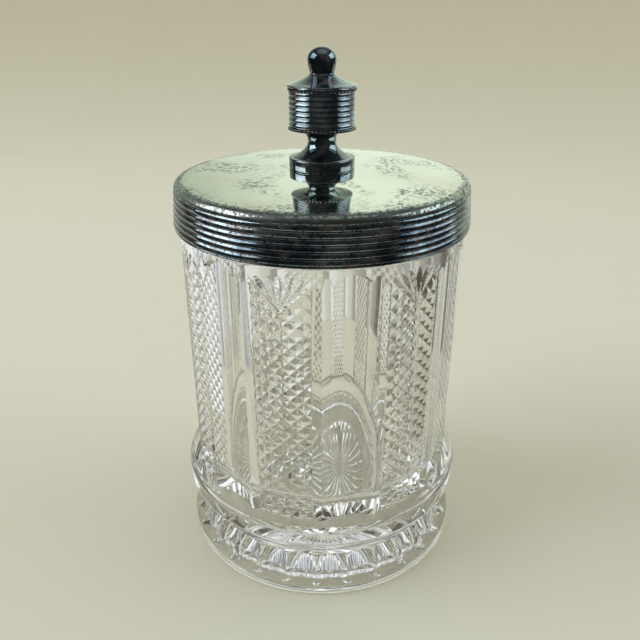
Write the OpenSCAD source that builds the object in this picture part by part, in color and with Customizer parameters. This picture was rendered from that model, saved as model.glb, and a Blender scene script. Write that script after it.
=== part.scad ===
// Pressed-glass pickle jar with a lift-off silver-plated lid and a turned finial.
// Millimetres, +Z up, origin on the table at the centre of the foot.
// A diamond panel faces -Y.

/* [Jar] */
// Diamond panels round the jar, with a clear flute between each two
panel_count = 7; // [6:1:8]
// Diameter of the body over its upright ribs
body_d = 86.6; // [82:0.2:90]
// Height of the glass rim above the table
jar_h = 120; // [105:1:140]
// Step from the body in to the neck
neck_step = 1; // [0.6:0.1:1.6]
// Thickness of the glass at the neck
neck_wall = 4.3; // [4:0.1:8]
// Height of the floor of the hollow above the table
floor_h = 27.5; // [22:0.5:34]
// Radius of the corner round the floor
floor_r = 7; // [3:0.5:12]
// Roundness of the glass rim
rim_r = 1.6; // [0.6:0.1:2]

/* [Base] */
// How far the ring stands out of the body
ring_out = 3.8; // [2.4:0.1:6]
// Height of the flat ledge on the ring above the table
ledge_h = 27; // [24:0.5:31]
// Height of the ring
ring_h = 7.4; // [5:0.2:9]
// Roundness of the ring's edges
ring_edge = 1.8; // [0.8:0.1:2.4]
// How far the top of the fluted wall stands out of the body
waist_out = 0.8; // [0:0.1:1.4]
// Height of the cove
waist_h = 4.4; // [3:0.2:6]
// How far the plain rim of the foot stands out of the body
foot_out = 3.6; // [2.4:0.1:6]
// Thickness of the plain rim of the foot
foot_rim_h = 3; // [2:0.2:4]
// Roundness of the rim's edges
foot_edge = 0.8; // [0.3:0.1:0.9]
// Flutes round the foot under each panel
foot_flutes_per_panel = 4; // [3:1:4]
// Depth of a flute below the wall
foot_flute_depth = 2.4; // [1:0.1:2.8]
// Width of the land left between two flutes
foot_land = 0.8; // [0.6:0.1:1.4]
// Step from the fluted wall out to the rim's edge
foot_step = 0.9; // [0.6:0.1:1.6]
// Width of the standing ring round the recess under the foot
standing_w = 7.9; // [5:0.1:12]
// Depth of the recess under the foot
recess_h = 2; // [1:0.2:3]
// Plain glass between the star and the edge of the recess
star_margin = 12; // [6:0.5:16]
// Depth of the star's rays at their outer ends
star_h = 1.6; // [0.8:0.2:2.4]
// Diameter of the plain heart of the star
star_heart_d = 8; // [4:1:16]
// Width of the land left between the outer ends of two rays
star_land = 1; // [0.6:0.1:2]

/* [Pressed pattern] */
// Whole diamonds across one panel
diamonds_across = 4; // [3:1:5]
// Height of one diamond
diamond_h = 4.1; // [3.4:0.1:5]
// How far a diamond's point stands above the grooves round it
diamond_rise = 1.5; // [0.8:0.1:1.7]
// Width of one upright rib
rib_w = 5.6; // [4.4:0.1:6.4]
// How far a rib's crest stands above its feet
rib_rise = 1.3; // [0.8:0.1:1.5]
// Rise of the rounded tops of a rib's two sides
rib_round = 1; // [0.4:0.1:1.2]
// Width of one clear flute
flute_w = 10.7; // [8:0.1:12]
// Hollow of a clear flute below the straight line between its edges
flute_sag = 0.75; // [0.4:0.05:1]
// Plain glass between the shoulder and the arches of the clear flutes
arch_margin = 1.6; // [1:0.2:4]
// Rise of a clear flute's arch
arch_rise = 3; // [2:0.2:5]
// Drop from the arches of the flutes to the tops of the ribs' flute sides
rib_high_drop = 1; // [0.6:0.2:2]
// Drop from the arches of the flutes to the tops of the ribs' diamond sides
rib_low_drop = 3.6; // [2.4:0.2:5]
// Rays in the fan over a diamond panel
fan_rays = 5; // [3:2:7]
// Width of one ray of the fan
fan_ray_w = 2.2; // [1.4:0.1:2.6]
// Depth of one ray of the fan
fan_ray_h = 0.8; // [0.4:0.1:1]

/* [Lid] */
// Depth of the reeded band
band_h = 11.1; // [8:0.1:14]
// Metal left behind the grooves of the band
band_wall = 0.75; // [0.5:0.05:1]
// Reeds round the band
reed_count = 6; // [4:1:8]
// How far a reed stands out of the grooves beside it
reed_rise = 0.55; // [0.3:0.05:0.8]
// How far the band spreads from its top to its lip
band_flare = 0.8; // [0:0.1:1.2]
// Height of the plain lip under the reeds
lip_h = 0.6; // [0.4:0.1:1.2]
// How far the lip stands out of the last groove
lip_out = 0.3; // [0.2:0.05:0.6]
// Roundness of the shoulder from the top down to the band
brow_r = 2; // [1.2:0.1:3]
// Height of the upright edge under the shoulder
brow_edge_h = 0.2; // [0.1:0.1:1]
// Thickness of the spun top
sheet_t = 0.9; // [0.6:0.1:1.4]
// Width of the flat ring that lies on the glass
seat_w = 7; // [6:0.2:9]
// Rise of the top from its shoulder to the finial
dome_rise = 2.3; // [1:0.1:5]
// Slip between the band and the neck of the jar
lid_slip = 0.4; // [0.3:0.05:0.8]
// Gap between the lid and the glass that carries it
seat_gap = 0.3; // [0.2:0.05:0.5]

/* [Finial] */
// Diameter of the collar that stands on the lid
collar_d = 19.5; // [16:0.5:22]
// Height of the collar
collar_h = 3.3; // [2.4:0.1:6]
// Roundness of the collar's upper edge
collar_edge = 0.4; // [0.2:0.1:1]
// Diameter of the waist of the spool
spool_neck_d = 8.4; // [6.6:0.2:10]
// Diameter of the spool where it meets the collar
spool_foot_d = 17.2; // [12:0.2:18]
// Diameter of the spool where it meets the drum
spool_head_d = 12.4; // [11:0.2:14]
// Height of the spool
spool_h = 7.8; // [6:0.2:10]
// Diameter of the drum over its reeds
drum_d = 19.3; // [17:0.1:20]
// Height of the drum with its milled rims
drum_h = 11.6; // [9:0.2:14]
// Reeds round the drum
drum_reeds = 7; // [5:1:9]
// How far a reed of the drum stands out
drum_reed_rise = 0.45; // [0.3:0.05:0.6]
// Diameter of the drum's milled rims
milled_d = 19.8; // [18:0.1:21]
// Thickness of a milled rim
milled_t = 0.8; // [0.6:0.1:1.6]
// Teeth round a milled rim
milled_teeth = 52; // [30:2:60]
// Depth of a tooth
milled_depth = 0.25; // [0.15:0.05:0.5]
// Diameter of the cap's thin rim
cap_d = 20.3; // [18:0.1:21]
// Thickness of the cap's rim
cap_rim_t = 0.7; // [0.4:0.1:1.2]
// Height of the cap's sloped shoulder above its rim
cap_slope_h = 2.8; // [2.4:0.1:5]
// Diameter of the neck under the knob
cap_neck_d = 6.8; // [6:0.1:7.4]
// Diameter of the knob
knob_d = 8.3; // [7.6:0.1:10]
// Height of the knob from its neck to its widest place
knob_low_h = 3.8; // [2:0.1:6]
// Height of the knob above its widest place
knob_top_h = 3.4; // [2.4:0.1:5]

/* [Fastening] */
// Diameter of the stud through the finial
stud_d = 4; // [3:0.1:4.4]
// Depth to which the stud enters the cap
stud_grip = 3; // [2:0.2:4]
// Clearance round the stud
stud_slip = 0.05; // [0.03:0.01:0.1]
// Length of stud below the nut
stud_tail = 1.4; // [0.6:0.2:3]
// Diameter of the washer under the lid
washer_d = 11; // [9:0.5:14]
// Thickness of the washer
washer_t = 0.8; // [0.5:0.1:1.2]
// Width of the nut across its flats
nut_w = 7; // [6:0.1:8]
// Height of the nut
nut_h = 2.8; // [2:0.1:4]

/* [Hidden] */
$fn = 96;

// Segments in a rounded edge, in a reed and in a long curve
edge_steps = 5;
reed_steps = 8;
curve_steps = 14;
flute_facets = 192;
// How far a core or a cut reaches past the surface that it joins or opens
reach = 1;
// Overlap by which one volume is sunk into another that it joins or cuts
bite = 0.25;
// Play at an edge where two surfaces would otherwise meet exactly
nudge = 0.08;
// Drop from the ribs' feet to the grooves round the diamonds, and from there to a panel's bed
groove_drop = 0.4;
bed_drop = 0.7;
// Angle left free at each side of a panel by its bed and by its fan
bed_margin = 0.6;
fan_margin = 0.4;

glass = [0.87, 0.90, 0.84, 0.55];
silver_plate = [0.62, 0.66, 0.64];
dark_plate = [0.30, 0.33, 0.36];
steel = [0.55, 0.55, 0.54];

// Neck of the jar and the lid on it, from the glass rim up
neck_r = body_d / 2 - neck_step;
band_in_r = neck_r + lid_slip;
lid_r = band_in_r + band_wall + reed_rise;
seat_z = jar_h + seat_gap;
brow_z = seat_z + brow_edge_h;
// The dome runs out at the angle at which the shoulder takes over
brow_lean = atan(2 * dome_rise / (lid_r - brow_r - collar_d / 2));
dome_r = lid_r - brow_r * (1 - sin(brow_lean));
crown_z = brow_z + brow_r * cos(brow_lean) + dome_rise;
skirt_z = seat_z - band_h;
reed_pitch = (band_h - lip_h) / reed_count;

// Jar
body_r = body_d / 2;
cavity_r = neck_r - neck_wall;
shoulder_z = skirt_z - seat_gap;
band_glass_r = body_r + nudge;
foot_r = body_r + foot_out;
recess_r = foot_r - standing_w;
star_r = recess_r - star_margin;
waist_r = body_r + waist_out;
ring_r = body_r + ring_out;
ring_z = ledge_h - ring_h;
drum_wall_z = ring_z - waist_h;
drum_wall_r = foot_r - foot_step;

// Pattern, one sector centred on a diamond panel
sector = 360 / panel_count;
rib_angle = rib_w / body_r * 180 / PI;
flute_angle = flute_w / body_r * 180 / PI;
panel_half = (sector - flute_angle) / 2 - rib_angle;
rib_foot_r = body_r - rib_rise;
groove_r = rib_foot_r - groove_drop;
bed_r = groove_r - bed_drop;
core_r = bed_r - reach;
arch_z = shoulder_z - arch_margin;
rib_high_z = arch_z - rib_high_drop;
rib_low_z = arch_z - rib_low_drop;
half_row = diamond_h / 2;
v_rise = diamonds_across * half_row;
v_edge_z = rib_low_z;
v_point_z = v_edge_z - v_rise;

// Finial, from the lid up
spool_z = crown_z + collar_h;
drum_z = spool_z + spool_h;
cap_z = drum_z + drum_h;
stud_r = stud_d / 2;
stud_hole_r = stud_r + stud_slip;
washer_z = crown_z - sheet_t - washer_t;
nut_z = washer_z - nut_h;
cap_neck_z = cap_z + cap_rim_t + cap_slope_h;
knob_z = cap_neck_z + knob_low_h;

// Points of an arc about c from angle a0 to angle a1
function arc(c, r, a0, a1, n) =
    [for (k = [0:n]) let (a = a0 + (a1 - a0) * k / n) c + r * [cos(a), sin(a)]];

// Points of a round reed that swells by rise between two points, without its last point
function reed(p, q, rise, n) =
    [for (k = [0:n - 1]) let (t = k / n) p + (q - p) * t + [rise * sqrt(1 - pow(2 * t - 1, 2)), 0]];

// A point at radius r, at angle a from the front of the jar, at height z
function around(r, a, z) = [r * sin(a), -r * cos(a), z];

// Repeats its children once for each panel of the jar
module each_panel() {
    for (k = [0:panel_count - 1]) rotate(k * sector) children();
}

// A radial prism through the front of the jar over an outline in width and height
module radial_cut(r_in, r_out) {
    translate([0, -r_in, 0]) rotate([90, 0, 0]) linear_extrude(r_out - r_in) children();
}

// Outline of the base, the neck and a plain core under the pressed pattern
function jar_outline() = concat(
    [[0, recess_h], [recess_r, recess_h], [recess_r + recess_h, 0]],
    arc([foot_r - foot_edge, foot_edge], foot_edge, -90, 0, edge_steps),
    arc([foot_r - foot_edge, foot_rim_h - foot_edge], foot_edge, 0, 90, edge_steps),
    [[drum_wall_r, foot_rim_h]],
    cove(),
    arc([ring_r - ring_edge, ring_z + ring_edge], ring_edge, -90, 0, edge_steps),
    arc([ring_r - ring_edge, ledge_h - ring_edge], ring_edge, 0, 90, edge_steps),
    [[core_r, ledge_h], [core_r, arch_z + nudge], [band_glass_r, arch_z + nudge],
     [band_glass_r, shoulder_z - (band_glass_r - neck_r) / 2], [neck_r, shoulder_z]],
    arc([neck_r - rim_r, jar_h - rim_r], rim_r, 0, 90, edge_steps),
    [[0, jar_h]]);

// The cove from the fluted wall up to the ring, without its last point
function cove() = [for (k = [0:edge_steps - 1])
    let (t = k / edge_steps)
    [waist_r + (ring_r - ring_edge - waist_r) * t * t, drum_wall_z + waist_h * t]];

// Cross-section of the ribs and the clear flutes, with low beds for the diamond panels
module rib_section() {
    bed_edge = panel_half - bed_margin;
    crest = panel_half + rib_angle / 2;
    foot = panel_half + rib_angle;
    corners = [[-foot, rib_foot_r], [-crest, body_r], [-panel_half, rib_foot_r], [-bed_edge, bed_r],
               [bed_edge, bed_r], [panel_half, rib_foot_r], [crest, body_r], [foot, rib_foot_r]];
    chord = 2 * rib_foot_r * sin(flute_angle / 2);
    sag = flute_sag + nudge;
    hollow_r = (chord * chord / 4 + sag * sag) / (2 * sag);
    hollow_c = rib_foot_r * cos(flute_angle / 2) - sag + nudge / 2 + hollow_r;
    difference() {
        polygon([for (k = [0:panel_count - 1], c = corners)
            let (a = k * sector + c[0]) [c[1] * sin(a), -c[1] * cos(a)]]);
        for (k = [0:panel_count - 1]) rotate((k + 0.5) * sector) translate([0, -hollow_c])
            circle(hollow_r, $fn = flute_facets);
    }
}

// Arched outline, w wide, from z0 up to z1
module arched(w, z0, z1, rise) {
    arch_r = (w * w / 4 + rise * rise) / (2 * rise);
    half = asin(w / 2 / arch_r);
    polygon(concat([[w / 2, z0]], arc([0, z1 - arch_r], arch_r, 90 - half, 90 + half, 2 * edge_steps),
                   [[-w / 2, z0]]));
}

// The plain glass above the pattern, its lower edge cut to arches over ribs and flutes and to a V
module pattern_head() {
    head_z = v_point_z - reach;
    z0 = head_z - reach;
    panel_w = 2 * body_r * sin(panel_half) + 2 * nudge;
    half_rib = rib_w / 2 + 2 * nudge;
    cut_in = core_r - reach;
    cut_out = body_r + reach;
    difference() {
        rotate_extrude() translate([cavity_r - reach, head_z])
            square([band_glass_r - cavity_r + reach, arch_z + 2 * nudge - head_z]);
        each_panel() {
            radial_cut(cut_in, cut_out) polygon([[-panel_w / 2, z0], [panel_w / 2, z0],
                [panel_w / 2, v_edge_z - bite], [0, v_point_z - bite], [-panel_w / 2, v_edge_z - bite]]);
            for (side = [-1, 1]) {
                rotate(side * (panel_half + rib_angle / 4)) radial_cut(cut_in, cut_out)
                    arched(half_rib, z0, rib_low_z, rib_round);
                rotate(side * (panel_half + rib_angle * 3 / 4)) radial_cut(cut_in, cut_out)
                    arched(half_rib, z0, rib_high_z, rib_round);
            }
            rotate(sector / 2) radial_cut(cut_in, cut_out)
                arched(flute_w + 2 * nudge, z0, arch_z, arch_rise);
        }
    }
}

// One panel of diamond points under its V, a wedge from the jar's axis out to the points.
// On a grid of half diamonds, every second corner is a point and the rest lie in the grooves.
module diamond_wedge() {
    cols = 2 * diamonds_across;
    rows_below = 2 * floor((v_point_z - ledge_h) / diamond_h) + 3;
    step = (panel_half + nudge) * 2 / cols;
    mid = diamonds_across;
    rows = rows_below + mid;
    function id(i, j) = j * (cols + 1) + i;
    function raised(i, j) = (i + j + mid + rows_below) % 2 == 1;
    function low_cell(i) = i < mid ? rows_below + mid - i - 1 : rows_below + i - mid;
    grid = [for (j = [0:rows], i = [0:cols])
        around(raised(i, j) ? groove_r + diamond_rise : groove_r, (i - mid) * step,
               v_point_z + (j - rows_below) * half_row)];
    axis_low = len(grid);
    axis_high = axis_low + 1;
    cells = [for (i = [0:cols - 1], j = [0:low_cell(i) - 1])
        each raised(i, j)
            ? [[id(i, j), id(i + 1, j), id(i, j + 1)], [id(i + 1, j), id(i + 1, j + 1), id(i, j + 1)]]
            : [[id(i, j), id(i + 1, j), id(i + 1, j + 1)], [id(i, j), id(i + 1, j + 1), id(i, j + 1)]]];
    v_cells = [for (i = [0:cols - 1])
        let (j = low_cell(i))
        i < mid ? [id(i, j), id(i + 1, j), id(i, j + 1)] : [id(i, j), id(i + 1, j), id(i + 1, j + 1)]];
    v_line = [for (i = [0:cols]) id(i, rows_below + abs(i - mid))];
    head = [for (i = [0:cols - 1]) [axis_high, v_line[i], v_line[i + 1]]];
    left = concat([axis_low], [for (j = [0:rows]) id(0, j)], [axis_high]);
    right = concat([axis_high], [for (j = [rows:-1:0]) id(cols, j)], [axis_low]);
    under = concat([axis_low], [for (i = [cols:-1:0]) id(i, 0)]);
    faces = concat(cells, v_cells, head, [left, right, under]);
    low_z = grid[0][2];
    points = concat(grid, [[0, 0, low_z], [0, 0, v_point_z]]);
    polyhedron(points, [for (f = faces) [for (k = [len(f) - 1:-1:0]) f[k]]]);
}

// One leaf-shaped mitre between two points given as [angle, height]
module mitre(p, q, w, deep) {
    widest = 0.62;
    c = p + (q - p) * widest;
    along = [(q - p)[0] * PI / 180 * body_r, (q - p)[1]];
    side = [along[1], -along[0]] / norm(along) * w / 2;
    turn = [side[0] / body_r * 180 / PI, side[1]];
    out_r = band_glass_r + bite;
    polyhedron([around(out_r, p[0], p[1]), around(out_r, c[0] + turn[0], c[1] + turn[1]),
                around(out_r, q[0], q[1]), around(out_r, c[0] - turn[0], c[1] - turn[1]),
                around(band_glass_r - deep, c[0], c[1])],
               [[0, 1, 2], [0, 2, 3], [4, 1, 0], [4, 2, 1], [4, 3, 2], [4, 0, 3]]);
}

// The fan of rays over one diamond panel
module fan() {
    spread = (panel_half - fan_margin) * 2 / fan_rays;
    // The rays spread from a heart over the V's point and start part of the way along, and the outer
    // tips hang lower
    heart_rise = 0.6;
    root = 0.3;
    tip_drop = 0.3;
    heart = [0, v_point_z + heart_rise];
    for (k = [0:fan_rays - 1]) {
        off = k - (fan_rays - 1) / 2;
        tip = [off * spread, rib_high_z - abs(off) * tip_drop];
        mitre(heart + (tip - heart) * root, tip, fan_ray_w, fan_ray_h);
    }
}

// The upright flutes round the foot, cut by cylinders that lean with the wall and end at the cove
module foot_flutes() {
    count = panel_count * foot_flutes_per_panel;
    half_chord = drum_wall_r * sin(180 / count) - foot_land / 2;
    depth = foot_flute_depth - drum_wall_r * (1 - cos(180 / count));
    cut_r = (half_chord * half_chord + depth * depth) / (2 * depth);
    rise = drum_wall_z - foot_rim_h;
    lean = atan((drum_wall_r - waist_r) / rise);
    spare = cut_r * tan(lean) + reach;
    intersection() {
        for (k = [0:count - 1]) rotate((k + 0.5) * 360 / count)
            translate([0, foot_flute_depth - drum_wall_r - cut_r, foot_rim_h]) rotate([-lean, 0, 0])
                translate([0, 0, -spare]) cylinder(r = cut_r, h = rise / cos(lean) + 2 * spare);
        translate([0, 0, foot_rim_h]) cylinder(r = foot_r + 2 * cut_r, h = rise);
    }
}

// The star of tapering rays pressed into the underside
module star() {
    count = panel_count * foot_flutes_per_panel;
    half_w = star_r * sin(180 / count) - star_land / 2;
    heart_r = star_heart_d / 2;
    for (k = [0:count - 1]) rotate(k * 360 / count)
        polyhedron([[0, -heart_r, recess_h], [half_w, -star_r, recess_h - bite],
                    [-half_w, -star_r, recess_h - bite], [0, -star_r, recess_h + star_h],
                    [0, -heart_r, recess_h - bite]],
                   [[4, 2, 1], [0, 1, 3], [0, 3, 2], [1, 2, 3], [4, 1, 0], [4, 0, 2]]);
}

// The hollow of the jar
module cavity() {
    rotate_extrude() polygon(concat([[0, floor_h]],
        arc([cavity_r - floor_r, floor_h + floor_r], floor_r, -90, 0, 2 * edge_steps),
        arc([cavity_r + rim_r, jar_h - rim_r], rim_r, 180, 90, edge_steps),
        [[cavity_r + rim_r, jar_h + reach], [0, jar_h + reach]]));
}

module glass_jar() {
    color(glass) difference() {
        union() {
            rotate_extrude() polygon(jar_outline());
            translate([0, 0, ledge_h - reach]) linear_extrude(arch_z + nudge / 2 - ledge_h + reach)
                rib_section();
            pattern_head();
            each_panel() diamond_wedge();
        }
        cavity();
        each_panel() fan();
        foot_flutes();
        star();
    }
}

// Height of the domed top at radius r from the axis
function dome_z(r) = crown_z - dome_rise * pow((r - collar_d / 2) / (dome_r - collar_d / 2), 2);

module lid_top() {
    heart_r = collar_d / 2;
    seat_r = lid_r - seat_w;
    // Points of the dome, from the finial out to radius r, lowered by drop
    function dome(r, drop) = [for (k = [0:curve_steps])
        let (here = heart_r + (r - heart_r) * k / curve_steps) [here, dome_z(here) - drop]];
    under = dome(seat_r, sheet_t);
    color(silver_plate) rotate_extrude() polygon(concat(
        [[stud_hole_r, crown_z]],
        [for (k = [0:curve_steps - 1]) dome(dome_r, 0)[k]],
        arc([lid_r - brow_r, brow_z], brow_r, 90 - brow_lean, 0, 2 * edge_steps),
        [[lid_r, seat_z], [seat_r, seat_z]],
        [for (k = [curve_steps:-1:0]) under[k]],
        [[stud_hole_r, crown_z - sheet_t]]));
}

module lid_band() {
    top_r = lid_r - reed_rise;
    lip_z = skirt_z + lip_h;
    lip_r = top_r + band_flare + lip_out;
    spread = [band_flare / reed_count, -reed_pitch];
    color(dark_plate) rotate_extrude() polygon(concat(
        [[band_in_r, seat_z]],
        [for (k = [0:reed_count - 1])
            let (start = [top_r, seat_z] + k * spread)
            each reed(start, start + spread, reed_rise, reed_steps)],
        [[top_r + band_flare, lip_z], [lip_r, lip_z - lip_h / 4], [lip_r, skirt_z], [band_in_r, skirt_z]]));
}

module finial_collar() {
    r = collar_d / 2;
    color(dark_plate) rotate_extrude() polygon(concat(
        [[stud_hole_r, crown_z], [r - collar_edge / 2, crown_z], [r, crown_z + collar_edge / 2]],
        arc([r - collar_edge, spool_z - collar_edge], collar_edge, 0, 90, edge_steps),
        [[stud_hole_r, spool_z]]));
}

module finial_spool() {
    // The waist lies nearer the drum than the collar
    waist = 0.58;
    // A hollow curve that starts straight up at the waist and ends spread out
    flare_power = 2.2;
    function hollow(r0, r1, t) = r0 + (r1 - r0) * pow(t, flare_power);
    low = [for (k = [0:curve_steps]) let (t = 1 - k / curve_steps)
        [hollow(spool_neck_d / 2, spool_foot_d / 2, t), spool_z + spool_h * waist * (1 - t)]];
    high = [for (k = [1:curve_steps]) let (t = k / curve_steps)
        [hollow(spool_neck_d / 2, spool_head_d / 2, t), spool_z + spool_h * (waist + (1 - waist) * t)]];
    color(dark_plate) rotate_extrude() polygon(concat(
        [[stud_hole_r, spool_z]], low, high, [[stud_hole_r, drum_z]]));
}

// A thin disc with pointed teeth round its edge
module milled_rim() {
    linear_extrude(milled_t) polygon([for (k = [0:2 * milled_teeth - 1])
        let (a = 180 * k / milled_teeth, r = milled_d / 2 - (k % 2) * milled_depth)
        [r * cos(a), r * sin(a)]]);
}

module finial_drum() {
    groove = drum_d / 2 - drum_reed_rise;
    reeded_h = drum_h - 2 * milled_t;
    step = [0, reeded_h / drum_reeds];
    foot = [groove, drum_z + milled_t];
    color(dark_plate) difference() {
        union() {
            translate([0, 0, drum_z]) milled_rim();
            translate([0, 0, cap_z - milled_t]) milled_rim();
            rotate_extrude() polygon(concat(
                [[0, drum_z + nudge], [groove - bite, drum_z + nudge], [groove - bite, foot[1]]],
                [for (k = [0:drum_reeds - 1]) each reed(foot + k * step, foot + (k + 1) * step,
                    drum_reed_rise, reed_steps)],
                [foot + drum_reeds * step, [groove - bite, cap_z - milled_t],
                 [groove - bite, cap_z - nudge], [0, cap_z - nudge]]));
        }
        translate([0, 0, drum_z - reach]) cylinder(r = stud_hole_r, h = drum_h + 2 * reach);
    }
}

module finial_cap() {
    cap_r = cap_d / 2;
    neck_out = cap_neck_d / 2;
    knob_r = knob_d / 2;
    rim_z = cap_z + cap_rim_t;
    // The slope steepens toward the neck
    slope_power = 1.45;
    slope = [for (k = [0:curve_steps - 1]) let (t = k / curve_steps)
        [cap_r - (cap_r - neck_out) * t, rim_z + cap_slope_h * pow(t, slope_power)]];
    low = [for (k = [0:curve_steps - 1]) let (t = k / curve_steps)
        [neck_out + (knob_r - neck_out) * sin(90 * t), cap_neck_z + knob_low_h * t]];
    high = [for (k = [0:curve_steps]) let (a = 90 * k / curve_steps)
        [knob_r * cos(a), knob_z + knob_top_h * sin(a)]];
    color(dark_plate) rotate_extrude() polygon(concat(
        [[stud_hole_r, cap_z], [cap_r - cap_rim_t / 2, cap_z], [cap_r, cap_z + cap_rim_t / 2]],
        slope, low, high,
        [[0, cap_z + stud_grip], [stud_hole_r, cap_z + stud_grip]]));
}

module finial_stud() {
    low = nut_z - stud_tail;
    color(steel) translate([0, 0, low]) cylinder(r = stud_r, h = cap_z + stud_grip - stud_slip - low);
}

module finial_washer() {
    color(steel) translate([0, 0, washer_z]) difference() {
        cylinder(d = washer_d, h = washer_t);
        translate([0, 0, -reach]) cylinder(r = stud_hole_r, h = washer_t + 2 * reach);
    }
}

module finial_nut() {
    color(steel) translate([0, 0, nut_z]) difference() {
        cylinder(d = nut_w / cos(30), h = nut_h, $fn = 6);
        translate([0, 0, -reach]) cylinder(r = stud_hole_r, h = nut_h + 2 * reach);
    }
}

glass_jar();
lid_top();
lid_band();
finial_collar();
finial_spool();
finial_drum();
finial_cap();
finial_stud();
finial_washer();
finial_nut();
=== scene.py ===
"""The looks of a pressed-glass pickle jar under a lift-off silver-plated lid.

Sizes are in millimetres and become metres where a mesh is made. The outer sizes and the heights come from the
frame's boxes, so that each piece lies where its solid lies; the other sizes are fields of its class.
"""

import logging
import math
from collections.abc import Callable, Sequence
from dataclasses import dataclass, field
from enum import Enum

import bpy
import numpy as np
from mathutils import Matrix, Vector


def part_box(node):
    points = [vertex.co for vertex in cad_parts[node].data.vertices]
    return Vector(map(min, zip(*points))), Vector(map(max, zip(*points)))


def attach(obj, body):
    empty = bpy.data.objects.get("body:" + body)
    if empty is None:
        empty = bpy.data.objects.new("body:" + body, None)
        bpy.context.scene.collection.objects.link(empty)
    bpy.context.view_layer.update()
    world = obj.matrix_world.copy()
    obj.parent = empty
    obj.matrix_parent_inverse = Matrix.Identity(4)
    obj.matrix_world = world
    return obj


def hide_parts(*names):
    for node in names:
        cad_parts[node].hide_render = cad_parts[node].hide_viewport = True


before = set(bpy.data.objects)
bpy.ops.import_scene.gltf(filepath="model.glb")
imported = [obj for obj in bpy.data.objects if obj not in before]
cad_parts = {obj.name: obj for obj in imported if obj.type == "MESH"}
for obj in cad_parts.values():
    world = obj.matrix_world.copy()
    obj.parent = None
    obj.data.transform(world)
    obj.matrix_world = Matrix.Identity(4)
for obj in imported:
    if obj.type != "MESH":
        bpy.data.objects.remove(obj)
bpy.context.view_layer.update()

MM = 0.001
TURN = 2 * math.pi
TINY = 1e-6
# Radius of a profile point that stands for the axis
AXIS = 0.02
LOG = logging.getLogger("pickle_castor")

Point = tuple[float, float]
Span = tuple[float, float]
Colour = tuple[float, float, float]
Rows = tuple[np.ndarray, np.ndarray, np.ndarray]
Piece = bpy.types.Object
Socket = bpy.types.NodeSocket
Material = bpy.types.Material


class Body(Enum):
    """The bodies of the frame that pieces ride on."""

    JAR = "jar"
    LID = "lid"


class Slot(Enum):
    """The material slots of the record."""

    GLASS = "clear_glass"
    BRIGHT = "silver_plate"
    DARK = "dark_silver_plate"
    STEEL = "steel"


def arc(centre: Point, radius: float, start: float, end: float, steps: int) -> list[Point]:
    """Points of an arc in a profile.

    Args:
        centre: Radius and height of the arc's middle.
        radius: Radius of the arc.
        start: Angle of the first point, in degrees from the outward direction.
        end: Angle of the last point.
        steps: Number of straight pieces.

    Returns:
        The points with both ends.
    """
    turns = np.radians(np.linspace(start, end, steps + 1))
    return [(centre[0] + radius * math.cos(t), centre[1] + radius * math.sin(t)) for t in turns]


def straight(start: Point, end: Point, steps: int) -> list[Point]:
    """Points of a straight stretch of a profile.

    Args:
        start: First point.
        end: Last point.
        steps: Number of pieces.

    Returns:
        The points with both ends.
    """
    return [(start[0] + (end[0] - start[0]) * t, start[1] + (end[1] - start[1]) * t)
            for t in np.linspace(0, 1, steps + 1)]


def chord_radius(near: Point, far: Point, angle: np.ndarray) -> np.ndarray:
    """Radius of a flat facet at an angle, seen along the axis.

    Args:
        near: Radius and angle of the facet's first edge.
        far: Radius and angle of its other edge.
        angle: Angles to find the radius at.

    Returns:
        The radius for each angle.
    """
    (r1, a1), (r2, a2) = near, far
    return r1 * r2 * math.sin(a2 - a1) / (r1 * np.sin(angle - a1) + r2 * np.sin(a2 - angle))


def hollow_radius(centre: float, cut: float, angle: np.ndarray) -> np.ndarray:
    """Radius of a hollow flute at an angle from its middle.

    Args:
        centre: Distance of the cutter's axis from the jar's axis.
        cut: Radius of the cutter.
        angle: Angles from the middle of the flute.

    Returns:
        The radius for each angle.
    """
    return centre * np.cos(angle) - np.sqrt(np.maximum(cut ** 2 - (centre * np.sin(angle)) ** 2, 0))


def bow_radius(half: float, rise: float) -> float:
    """Radius of an arc, from half its width and its rise."""
    return (half ** 2 + rise ** 2) / (2 * rise)


def reed_bulge(share: float) -> float:
    """How far a half-round reed stands out at a share of its width, from 0 to 1."""
    return math.sqrt(1 - (2 * share - 1) ** 2)


def ring_faces(rows: int, columns: int, closed: bool) -> np.ndarray:
    """Four-sided faces between neighbouring rings of points.

    Args:
        rows: Number of rings.
        columns: Points in each ring.
        closed: Whether the last ring joins the first.

    Returns:
        The corner numbers of each face.
    """
    row, column = np.meshgrid(np.arange(rows if closed else rows - 1), np.arange(columns), indexing="ij")
    here, above = row * columns, (row + 1) % rows * columns
    after = (column + 1) % columns
    return np.stack([here + column, here + after, above + after, above + column], -1).reshape(-1, 4)


def make_piece(name: str, points: np.ndarray, faces: Sequence[Sequence[int]], crease: float) -> Piece:
    """Makes a mesh object that is smooth but for its sharp edges.

    Args:
        name: Name of the object.
        points: Corner points in millimetres.
        faces: Corner numbers of each face.
        crease: Angle in degrees above which an edge stays sharp.

    Returns:
        The object, linked to the scene.
    """
    mesh = bpy.data.meshes.new(name)
    mesh.from_pydata((np.asarray(points) * MM).tolist(), [], [list(map(int, face)) for face in faces])
    mesh.shade_smooth()
    mesh.set_sharp_from_angle(angle=math.radians(crease))
    piece = bpy.data.objects.new(name, mesh)
    bpy.context.scene.collection.objects.link(piece)
    return piece


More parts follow.
